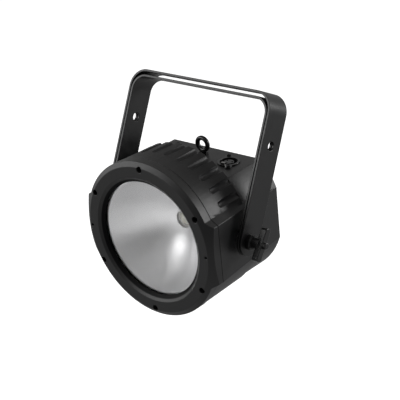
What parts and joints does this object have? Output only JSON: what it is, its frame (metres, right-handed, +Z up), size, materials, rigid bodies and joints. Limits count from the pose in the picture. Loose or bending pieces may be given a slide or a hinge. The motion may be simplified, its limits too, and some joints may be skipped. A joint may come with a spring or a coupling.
{
  "type": "par can light",
  "caption": "Round stage par light with a bright bowl reflector behind clear glass, a grooved black housing, a double hanging yoke with locking knobs and a safety eye.",
  "frame": {"origin": "centre of the clamp bolt hole in the outer yoke's top bar", "axes": "+Z up, the beam leaves level along -Y, +X to the side, the folded yokes lean back 27 degrees"},
  "size_m": [0.2886, 0.1648, 0.2823],
  "materials": {
    "housing_black": "satin black moulding",
    "yoke_black": "satin black powder coat",
    "screw_black": "black oxide",
    "steel": "zinc plated",
    "lens_clear": "clear tempered glass",
    "reflector_metal": "satin anodised",
    "aluminium_raw": "extruded",
    "led_board": "white board",
    "led_dome": "clear silicone over phosphor",
    "rubber_black": "moulded seal",
    "holder_plastic": "moulded ring",
    "friction_fibre": "friction washer",
    "knob_plastic": "black nylon",
    "brass_parts": "turned",
    "socket_plastic": "glass filled nylon",
    "latch_metal": "pressed",
    "button_plastic": "moulded keys",
    "display_clear": "tinted window",
    "circuit_board": "solder mask",
    "driver_case": "folded case"
  },
  "bodies": {
    "outer_yoke": {"outer_yoke": "yoke_black", "yoke_washers": "friction_fibre"},
    "head": {"barrel": "housing_black", "bezel_screws": "screw_black", "bezel_side_screws": "screw_black", "bulkhead": "steel", "cob_board": "led_board", "cob_dome": "led_dome", "control_board": "circuit_board", "display_module": "circuit_board", "display_window": "display_clear", "dmx_in": "socket_plastic", "dmx_in_pins": "brass_parts", "dmx_out": "socket_plastic", "dmx_out_contacts": "brass_parts", "dmx_screws": "screw_black", "fan_frame": "holder_plastic", "fan_screws": "screw_black", "fan_spacers": "steel", "friction_washers": "friction_fibre", "front_bezel": "housing_black", "fuse_holder": "socket_plastic", "heatsink": "aluminium_raw", "heatsink_screws": "steel", "led_driver": "driver_case", "lens_gasket": "rubber_black", "lens_glass": "lens_clear", "pivot_inserts": "steel", "pivot_studs": "steel", "power_in": "socket_plastic", "power_in_contacts": "brass_parts", "power_out": "socket_plastic", "power_out_contacts": "brass_parts", "power_screws": "screw_black", "rear_housing": "housing_black", "rear_panel": "housing_black", "rear_panel_screws": "screw_black", "reflector": "reflector_metal", "reflector_holder": "holder_plastic", "reflector_retainer": "holder_plastic", "safety_eye": "steel", "safety_eye_nut": "steel", "tie_screws": "steel"},
    "inner_yoke": {"inner_yoke": "yoke_black"},
    "fan_rotor": {"fan_rotor": "holder_plastic"},
    "right_knob": {"right_knob_grip": "knob_plastic", "right_knob_nut": "brass_parts", "right_knob_cap": "knob_plastic"},
    "left_knob": {"left_knob_grip": "knob_plastic", "left_knob_nut": "brass_parts", "left_knob_cap": "knob_plastic"},
    "menu_button": {"button_menu": "button_plastic"},
    "down_button": {"button_down": "button_plastic"},
    "up_button": {"button_up": "button_plastic"},
    "enter_button": {"button_enter": "button_plastic"},
    "latch": {"dmx_out_latch": "latch_metal"}
  },
  "joints": [
    {"name": "head_tilt", "type": "hinge", "parent": "outer_yoke", "child": "head", "pos_m": [0, -0.08421, -0.16528], "axis": [1, 0, 0], "range_deg": [-100, 110]},
    {"name": "inner_yoke_swing", "type": "hinge", "parent": "outer_yoke", "child": "inner_yoke", "pos_m": [0, -0.08421, -0.16528], "axis": [1, 0, 0], "range_deg": [-150, 150]},
    {"name": "right_knob_turn", "type": "hinge", "parent": "head", "child": "right_knob", "pos_m": [0, -0.08421, -0.16528], "axis": [1, 0, 0], "range_deg": [0, 360]},
    {"name": "left_knob_turn", "type": "hinge", "parent": "head", "child": "left_knob", "pos_m": [0, -0.08421, -0.16528], "axis": [-1, 0, 0], "range_deg": [0, 360]},
    {"name": "fan_spin", "type": "hinge", "parent": "head", "child": "fan_rotor", "pos_m": [0, -0.01722, -0.15928], "axis": [0, 1, 0], "continuous": true},
    {"name": "menu_button_press", "type": "slide", "parent": "head", "child": "menu_button", "axis": [0, -1, 0], "range_m": [0, 0.0008], "stiffness_N_per_m": 500},
    {"name": "down_button_press", "type": "slide", "parent": "head", "child": "down_button", "axis": [0, -1, 0], "range_m": [0, 0.0008], "stiffness_N_per_m": 500},
    {"name": "up_button_press", "type": "slide", "parent": "head", "child": "up_button", "axis": [0, -1, 0], "range_m": [0, 0.0008], "stiffness_N_per_m": 500},
    {"name": "enter_button_press", "type": "slide", "parent": "head", "child": "enter_button", "axis": [0, -1, 0], "range_m": [0, 0.0008], "stiffness_N_per_m": 500},
    {"name": "latch_press", "type": "slide", "parent": "head", "child": "latch", "axis": [0, 0, -1], "range_m": [0, 0.0015], "stiffness_N_per_m": 600}
  ]
}
